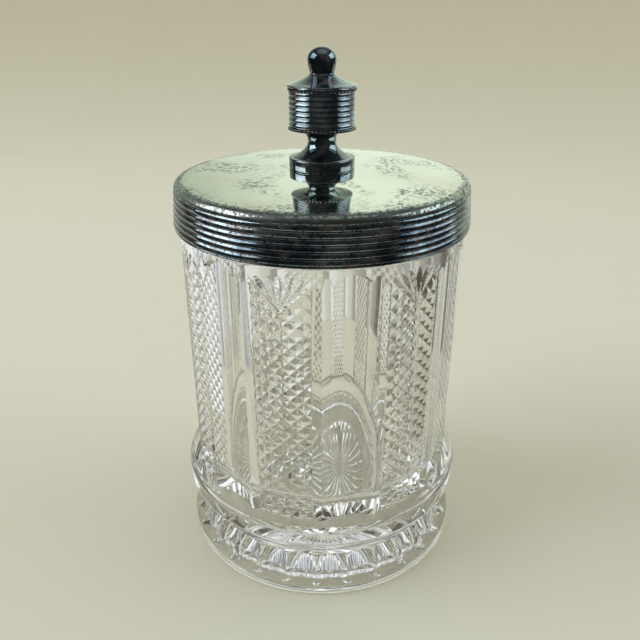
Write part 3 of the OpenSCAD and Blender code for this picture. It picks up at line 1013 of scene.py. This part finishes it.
@dataclass
class Lid:
    """The lid: a domed disc with a rounded shoulder, on a reeded band that slips over the neck."""

    sheet: float = 0.9
    bore: float = 2.05
    dome_rise: float = 2.3
    brow: float = 2.0
    brow_edge: float = 0.2
    brow_gap: float = 0.6
    seat: float = 7.0
    blunt: float = 0.15
    edge: float = 0.1
    reeds: int = 6
    reed_rise: float = 0.55
    reed_slip: float = 0.133
    lip: float = 0.6
    lip_out: float = 0.3
    band_wall: float = 0.75
    inside_crest: float = 0.3
    seam_crest: float = 0.2
    segments: int = 320
    top_finish: SpottedPlate = field(default_factory=SpottedPlate)
    band_finish: DarkPlate = field(default_factory=DarkPlate)

    def top_profile(self) -> list[Point]:
        """Closed profile of the disc, from its bore over the underside to the rim and back over the top.

        Returns:
            The profile points.
        """
        radius, foot, crown = node_span("lid_top")
        heart = node_span("finial_collar")[0]
        middle, seat, blunt = radius - self.brow, radius - self.seat, self.blunt
        lean = math.degrees(math.atan(2 * self.dome_rise / (middle - heart)))
        rim = arc((middle, foot + self.brow_edge), self.brow, 0, 90 - lean, 14)
        edge = rim[-1][0]

        def dome(r: float) -> float:
            """Height of the top at a radius."""
            return crown - self.dome_rise * max((r - heart) / (edge - heart), 0) ** 2

        under = [(r, dome(r) - self.sheet) for r in np.linspace(self.bore, seat - 2 * blunt, 24)]
        under += [(seat, dome(seat) - self.sheet - 2 * blunt), (seat, foot + blunt), (seat + blunt, foot),
                  (radius - self.edge, foot)]
        return under + rim + [(r, dome(r)) for r in np.linspace(edge - self.brow_gap, self.bore, 40)]

    def band_profile(self) -> tuple[list[Point], list[float]]:
        """Closed profile of the reeded band and how far each point stands out of the grooves.

        Returns:
            The profile points and their crest values.
        """
        lip_r, foot, top = node_span("lid_band")
        step = (top - foot - self.lip) / self.reeds
        first = lip_r - self.lip_out - self.reed_slip * self.reeds
        inside = first - self.band_wall
        points = [(inside, top), (inside, foot + self.edge), (inside + self.edge, foot)]
        lip = arc((lip_r - self.lip / 2, foot + self.lip / 2), self.lip / 2, -90, 90, 6)
        crest = [self.inside_crest] * len(points) + [1.0] * len(lip)
        points += lip
        for reed in reversed(range(self.reeds)):
            for share in np.linspace(0.02, 0.98, 13):
                down, bulge = reed + 1 - share, reed_bulge(share)
                points.append((first + self.reed_slip * down + self.reed_rise * bulge, top - step * down))
                crest.append(bulge)
        return points + [(first, top)], crest + [self.seam_crest]

    def build(self) -> list[Piece]:
        """Makes the disc and the band and dresses them.

        Returns:
            The pieces.
        """
        top = Turned("lid_disc", self.top_profile(), segments=self.segments, crease=40.0).build()
        band = Turned("lid_reeded_band", *self.band_profile(), segments=self.segments, crease=60.0).build()
        return [settle(top, "lid_top", Body.LID, self.top_finish.make()),
                settle(band, "lid_band", Body.LID, self.band_finish.make())]


@dataclass
class Finial:
    """The turned finial: collar, waisted spool, reeded drum with milled rims, and a cap with a knob."""

    bore: float = 2.05
    collar_edge: float = 0.4
    collar_flat: float = 1.0
    spool: tuple[float, float, float] = (8.6, 4.2, 6.2)
    waist: float = 0.58
    flare: float = 2.2
    reeds: int = 7
    groove_r: float = 9.2
    reed_out: float = 0.45
    mill: float = 0.8
    mill_edge: float = 0.12
    mill_step: float = 0.15
    mill_face: float = 0.8
    mill_crest: tuple[float, ...] = (0.5, 1.0, 1.0, 0.6, 0.0)
    bore_crest: float = 0.3
    teeth: int = 52
    tooth: float = 0.25
    tooth_bend: float = 1.5
    tooth_reach: float = 0.05
    cap_rim: float = 0.7
    cap_round: float = 0.3
    cap_face: float = 0.2
    stud_spare: float = 0.25
    slope: tuple[float, float, float] = (6.75, 2.8, 1.45)
    knob: tuple[float, float, float] = (4.15, 3.8, 3.4)
    finish: DarkPlate = DarkPlate(pitted=0.2, polish=(0.05, 0.2))

    def collar(self) -> Turned:
        """The collar, with rounded edges.

        Returns:
            The turned piece.
        """
        radius, foot, top = node_span("finial_collar")
        edge, inner = self.collar_edge, radius - self.collar_edge
        profile = [(self.bore, top), (self.bore, foot)] + arc((inner, foot + edge), edge, -90, 0, 6)
        profile += arc((inner, top - edge), edge, 0, 90, 8) + [(inner - self.collar_flat, top)]
        return Turned("finial_collar_ring", profile)

    def neck(self) -> Turned:
        """The spool, hollowed to a waist.

        Returns:
            The turned piece.
        """
        _, foot, top = node_span("finial_spool")
        low, waist, high = self.spool
        mid = foot + (top - foot) * self.waist
        profile = [(self.bore, top), (self.bore, foot)]
        ends = ((low, foot, np.linspace(1, 0, 20)), (high, top, np.linspace(0.05, 1, 18)))
        for radius, end, shares in ends:
            profile += [(waist + (radius - waist) * t ** self.flare, mid + (end - mid) * t) for t in shares]
        return Turned("finial_waisted_spool", profile)

    def drum(self) -> Turned:
        """The drum, with reeds between two milled rims.

        Returns:
            The turned piece.
        """
        radius, foot, top = node_span("finial_drum")
        mill, edge, crest = self.mill, self.mill_edge, self.mill_crest
        rim = [(radius - self.mill_face, 0.0), (radius, edge), (radius, mill - edge),
               (radius - self.mill_step, mill), (self.groove_r, mill)]
        points = [(self.bore, top), (self.bore, foot)] + [(r, foot + z) for r, z in rim]
        crests = [self.bore_crest] * 2 + list(crest)
        step = (top - foot - 2 * mill) / self.reeds
        for reed in range(self.reeds):
            for share in np.linspace(0.03, 0.97, 11):
                bulge = reed_bulge(share)
                points.append((self.groove_r + self.reed_out * bulge, foot + mill + step * (reed + share)))
                crests.append(bulge)
        points += [(r, top - z) for r, z in reversed(rim)]
        crests += reversed(crest)

        def milled(radii: np.ndarray, angles: np.ndarray, _: np.ndarray) -> np.ndarray:
            """Radii with the teeth of the rims cut in."""
            tooth = self.tooth * (0.5 - 0.5 * np.cos(self.teeth * angles)) ** self.tooth_bend
            return radii - np.where(radii > radius - self.tooth_reach, tooth, 0)

        return Turned("finial_reeded_drum", points, crests, segments=self.teeth * 8, crease=50.0,
                      shape=milled)

    def cap(self) -> Turned:
        """The cap: a thin rim, a hollow slope, a neck and a knob.

        Returns:
            The turned piece.
        """
        radius, foot, top = node_span("finial_cap")
        tip = node_span("finial_stud")[2] + self.stud_spare
        (run, rise, bend), (knob, low, high) = self.slope, self.knob
        rim, edge = foot + self.cap_rim, self.cap_round
        neck, middle = radius - run, top - high
        points = [(AXIS, tip), (self.bore, tip), (self.bore, foot), (radius - self.cap_face, foot)]
        points += arc((radius - edge, rim - edge), edge, -40, 60, 5)
        points += [(radius - run * t, rim + rise * t ** bend) for t in np.linspace(0.08, 0.95, 18)]
        points += [(neck + (knob - neck) * math.sin(t * math.pi / 2), middle - low * (1 - t))
                   for t in np.linspace(0.06, 0.97, 18)]
        points += [(knob * math.cos(t), middle + high * math.sin(t))
                   for t in np.radians(np.linspace(0, 89.7, 24))]
        return Turned("finial_knob_cap", points, crease=45.0)

    def build(self) -> list[Piece]:
        """Makes the four turned pieces and dresses them in one finish.

        Returns:
            The pieces.
        """
        material = self.finish.make()
        turned = {"finial_collar": self.collar(), "finial_spool": self.neck(), "finial_drum": self.drum(),
                  "finial_cap": self.cap()}
        return [settle(piece.build(), node, Body.LID, material) for node, piece in turned.items()]


@dataclass
class Fastening:
    """The stud, washer and nut that hold the finial on the lid."""

    pitch: float = 0.7
    thread: float = 0.18
    threaded: float = 6.0
    thread_reach: float = 0.05
    stud_bevel: Point = (0.3, 0.2)
    washer_bevel: float = 0.12
    nut_width: float = 7.0
    nut_bevel: float = 0.25
    nut_face: float = 0.1
    nut_spare: float = 1.0
    chamfer: float = math.radians(30)
    clearance: float = 0.05
    finish: DullSteel = field(default_factory=DullSteel)

    def stud(self) -> Turned:
        """The stud, with a thread on its tail.

        Returns:
            The turned piece.
        """
        radius, foot, top = node_span("finial_stud")
        inset, bevel = self.stud_bevel
        heights = np.arange(foot + bevel, foot + self.threaded, self.pitch / 8)
        profile = [(AXIS, top), (AXIS, foot), (radius - inset, foot)] + [(radius, z) for z in heights]
        profile += [(radius, top - bevel), (radius - inset, top)]

        def thread(radii: np.ndarray, angles: np.ndarray, places: np.ndarray) -> np.ndarray:
            """Radii with the thread cut in."""
            cut = self.thread * np.abs(2 * np.mod((places - foot) / self.pitch - angles / TURN, 1) - 1)
            return radii - np.where((radii > radius - self.thread_reach) & (places < foot + self.threaded),
                                    cut, 0)

        return Turned("finial_threaded_stud", profile, segments=48, crease=70.0, shape=thread)

    def washer(self) -> Turned:
        """The washer, with broken edges.

        Returns:
            The turned piece.
        """
        radius, foot, top = node_span("finial_washer")
        bore, bevel = node_span("finial_stud")[0] + self.clearance, self.washer_bevel
        profile = [(bore, top), (bore, foot), (radius - bevel, foot), (radius, foot + bevel),
                   (radius, top - bevel), (radius - bevel, top)]
        return Turned("finial_plain_washer", profile, segments=96)

    def nut(self) -> Turned:
        """The nut, with six flats.

        Returns:
            The turned piece.
        """
        _, foot, top = node_span("finial_nut")
        flat, bore = self.nut_width / 2, node_span("finial_stud")[0] + self.clearance
        bevel, face, spare = self.nut_bevel, flat - self.nut_face, flat + self.nut_spare
        profile = [(bore, top - bevel), (bore, foot + bevel), (bore + bevel, foot), (face, foot),
                   (spare, foot), (spare, top), (face, top), (bore + bevel, top)]

        def flats(radii: np.ndarray, angles: np.ndarray, _: np.ndarray) -> np.ndarray:
            """Radii with the flats cut."""
            return np.minimum(radii, flat / np.cos(np.mod(angles, TURN / 6) - TURN / 12))

        return Turned("finial_hex_nut", profile, segments=96, crease=25.0, shape=flats)

    def break_corners(self, nut: Piece) -> None:
        """Sinks the nut's corners below its faces, as a chamfer leaves them.

        Args:
            nut: The nut.
        """
        face = (self.nut_width / 2 - self.nut_face) * MM
        middle = sum(node_span("finial_nut")[1:]) / 2 * MM
        for vertex in nut.data.vertices:
            spare = math.hypot(vertex.co.x, vertex.co.y) - face
            if spare > 0:
                vertex.co.z -= math.copysign(spare * math.tan(self.chamfer), vertex.co.z - middle)

    def build(self) -> list[Piece]:
        """Makes the three pieces and dresses them.

        Returns:
            The pieces.
        """
        material = self.finish.make()
        stud, washer, nut = self.stud().build(), self.washer().build(), self.nut().build()
        self.break_corners(nut)
        pieces = {"finial_stud": stud, "finial_washer": washer, "finial_nut": nut}
        return [settle(piece, node, Body.LID, material) for node, piece in pieces.items()]


@dataclass(frozen=True)
class Window:
    """A soft window-like light, placed by its bearing from the camera's side of the jar."""

    name: str
    bearing: float
    lift: float
    width: float
    height: float
    radiance: float
    colour: Colour = (0.94, 0.97, 1.0)
    mirrored: bool = True
    distance: float = 3.0


@dataclass(frozen=True)
class Wash:
    """A colour that the room takes toward a bearing and lift, with the cosines of its soft edge."""

    bearing: float
    lift: float
    edge: Span
    colour: Colour


@dataclass
class Studio:
    """Table, backdrop, room light and camera. Lengths here are in metres.

    Mirrors show the room as back under the washes of mirrored; the glass shows it as pale under those of
    through.
    """

    turn: float = math.radians(15.1)
    reach: float = 0.194
    lift: float = 0.1669
    pitch: float = math.radians(25.56)
    aside: float = -0.0006
    lens: float = 36.34
    sensor: float = 36.0
    clip: float = 0.01
    lamp_aim: float = 0.08
    heart: float = 0.0002
    near: float = 0.16
    near_z: float = -0.00005
    flat_z: float = -0.00012
    overlap: float = 0.96
    table: float = 0.75
    front_side: float = 105.0
    sweep: float = 0.8
    wall: float = 2.4
    open_side: float = 125.0
    sheet_columns: int = 97
    sheet_crease: float = 60.0
    back: Colour = (0.84, 0.94, 0.78)
    mirrored: tuple[Wash, ...] = (Wash(-90.0, 0.0, (-0.05, 0.4), (0.42, 0.48, 0.38)),
                                  Wash(0.0, 0.0, (-0.8, -0.35), (0.045, 0.041, 0.037)),
                                  Wash(0.0, 90.0, (0.45, 0.8), (0.09, 0.095, 0.1)),
                                  Wash(0.0, 90.0, (0.84, 0.95), (0.4, 0.42, 0.4)))
    pale: Colour = (0.64, 0.65, 0.55)
    through: tuple[Wash, ...] = (Wash(-90.0, 0.0, (0.06, 0.36), (0.84, 0.86, 0.83)),
                                 Wash(90.0, 0.0, (0.06, 0.36), (0.36, 0.35, 0.3)),
                                 Wash(-90.0, 0.0, (0.55, 0.8), (0.95, 0.98, 1.0)),
                                 Wash(90.0, 0.0, (0.5, 0.75), (0.06, 0.048, 0.034)),
                                 Wash(0.0, 0.0, (-0.3, 0.15), (0.19, 0.18, 0.15)),
                                 Wash(0.0, 90.0, (0.25, 0.55), (0.06, 0.048, 0.034)),
                                 Wash(180.0, 41.0, (0.97, 0.985), (0.62, 0.66, 0.7)),
                                 Wash(-146.0, 24.0, (0.91, 0.95), (1.15, 1.2, 1.24)),
                                 Wash(146.0, 24.0, (0.91, 0.95), (1.15, 1.2, 1.24)))
    fill: Colour = (0.25, 0.235, 0.185)
    bounces: int = 28
    windows: tuple[Window, ...] = (
        Window("window_left", -84.0, 30.0, 2.5, 2.0, 3.6),
        Window("window_right", 94.0, 28.0, 2.7, 1.8, 2.0, (0.84, 0.95, 1.0)),
        Window("ceiling", 180.0, 80.0, 2.6, 2.6, 0.62, (1.0, 0.98, 0.9), False))

    def toward(self, bearing: float, lift: float) -> Vector:
        """Direction from the jar, by bearing from the camera and lift, in degrees."""
        turn, rise = self.turn + math.radians(bearing), math.radians(lift)
        return Vector((math.sin(turn) * math.cos(rise), -math.cos(turn) * math.cos(rise), math.sin(rise)))

    def camera(self) -> None:
        """Sets the camera up at the photo's angle."""
        eye = bpy.data.objects.new("camera", bpy.data.cameras.new("camera"))
        bpy.context.scene.collection.objects.link(eye)
        eye.data.lens, eye.data.sensor_width = self.lens, self.sensor
        eye.data.clip_start = self.clip
        right = Vector((math.cos(self.turn), math.sin(self.turn), 0))
        eye.location = self.toward(0, 0) * self.reach + Vector((0, 0, self.lift)) + right * self.aside
        eye.rotation_euler = (math.pi / 2 - self.pitch, 0, self.turn)
        bpy.context.scene.camera = eye

    def lamp(self, window: Window) -> None:
        """Hangs one window light.

        Args:
            window: The light to hang.
        """
        data = bpy.data.lights.new(window.name, "AREA")
        data.shape, data.size, data.size_y = "RECTANGLE", window.width, window.height
        data.energy = window.radiance * math.pi * window.width * window.height
        data.color = window.colour
        lamp = bpy.data.objects.new(window.name, data)
        bpy.context.scene.collection.objects.link(lamp)
        way = self.toward(window.bearing, window.lift)
        lamp.location = way * window.distance + Vector((0, 0, self.lamp_aim))
        lamp.rotation_euler = way.to_track_quat("Z", "Y").to_euler()
        lamp.visible_camera = lamp.visible_transmission = False
        lamp.visible_glossy = window.mirrored

    def room(self) -> None:
        """Lights the room: one view for mirrors, one through the glass, and an even fill for the rest."""
        world = bpy.data.worlds.new("room")
        bpy.context.scene.world = world
        recipe = Recipe(world, "ShaderNodeOutputWorld")
        way = recipe.add("ShaderNodeTexCoord").outputs["Generated"]
        path = recipe.add("ShaderNodeLightPath").outputs

        def washed(colour: Colour | Socket, washes: Sequence[Wash]) -> Colour | Socket:
            """A view of the room.

            Args:
                colour: Its main colour.
                washes: What lies over it, in order.

            Returns:
                The colour of the view.
            """
            for wash in washes:
                along = recipe.vector("DOT_PRODUCT", way, self.toward(wash.bearing, wash.lift))
                colour = recipe.blend(recipe.ramp(along.outputs["Value"], *wash.edge), colour, wash.colour)
            return colour

        mirrors = recipe.sum("SUBTRACT", path["Is Glossy Ray"], path["Is Transmission Ray"])
        view = recipe.blend(mirrors, washed(self.pale, self.through), washed(self.back, self.mirrored))
        light = recipe.add("ShaderNodeBackground", Color=recipe.blend(path["Diffuse Depth"], view, self.fill))
        recipe.finish(light.outputs[0])

    def paper_sheet(self, name: str, start: float, end: float, profile: Sequence[Point],
                    material: Material) -> Piece:
        """A sheet of the table's paper, swept round the jar.

        Args:
            name: Name of the sheet.
            start: Bearing of its first edge, in degrees from the camera.
            end: Bearing of its last edge.
            profile: Radius and height of its rows, in metres.
            material: The paper.

        Returns:
            The sheet.
        """
        angle = self.turn + np.radians(np.linspace(start, end, self.sheet_columns))
        points = [(r * math.sin(a), -r * math.cos(a), z) for r, z in profile for a in angle]
        quads = ring_faces(len(profile), len(angle), False).reshape(len(profile) - 1, len(angle), 4)
        faces = quads[:, :-1, ::-1].reshape(-1, 4).tolist()
        sheet = make_piece(name, np.array(points) / MM, faces, self.sheet_crease)
        sheet.data.materials.append(material)
        return sheet

    def floor(self) -> None:
        """Lays the paper on the table and sweeps it up; ahead of the jar only the camera sees the sweep."""
        paper = PalePaper().make()
        near = [(r, self.near_z) for r in np.geomspace(self.heart, self.near, 22)]
        flat = [(r, self.flat_z) for r in np.geomspace(self.overlap * self.near, self.table, 12)]
        self.paper_sheet("table_near", 0, 360, near, paper)
        aft = self.paper_sheet("table_behind", self.front_side, 360 - self.front_side, flat, paper)
        aft.visible_transmission = False
        ahead = self.paper_sheet("table_before", -self.front_side, self.front_side, flat, paper)
        ahead.visible_glossy = ahead.visible_transmission = False
        cove = [(self.table + self.sweep * math.sin(t), self.sweep * (1 - math.cos(t)) + self.flat_z)
                for t in np.radians(np.linspace(0, 90, 20))]
        cove.append((self.table + self.sweep, self.wall))
        back = self.paper_sheet("backdrop_behind", self.open_side, 360 - self.open_side, cove, paper)
        fore = self.paper_sheet("backdrop_before", -self.open_side, self.open_side, cove, paper)
        for sheet in (back, fore):
            for ray in ("shadow", "glossy", "transmission"):
                setattr(sheet, f"visible_{ray}", False)
        fore.visible_diffuse = False

    def build(self) -> None:
        """Sets up the whole studio."""
        self.camera()
        self.room()
        self.floor()
        for window in self.windows:
            self.lamp(window)
        scene = bpy.context.scene
        scene.view_settings.view_transform = "Standard"
        for kind in ("max", "glossy", "transmission"):
            setattr(scene.cycles, f"{kind}_bounces", self.bounces)


def main() -> None:
    """Builds the studio and the pieces in order, and reports each piece."""
    logging.basicConfig(level=logging.INFO, format="%(message)s")
    Studio().build()
    for assembly in (GlassJar(), Lid(), Finial(), Fastening()):
        for piece in assembly.build():
            LOG.info("%s: %d faces in %s", piece.name, len(piece.data.polygons), type(assembly).__name__)


if __name__ == "__main__":
    main()
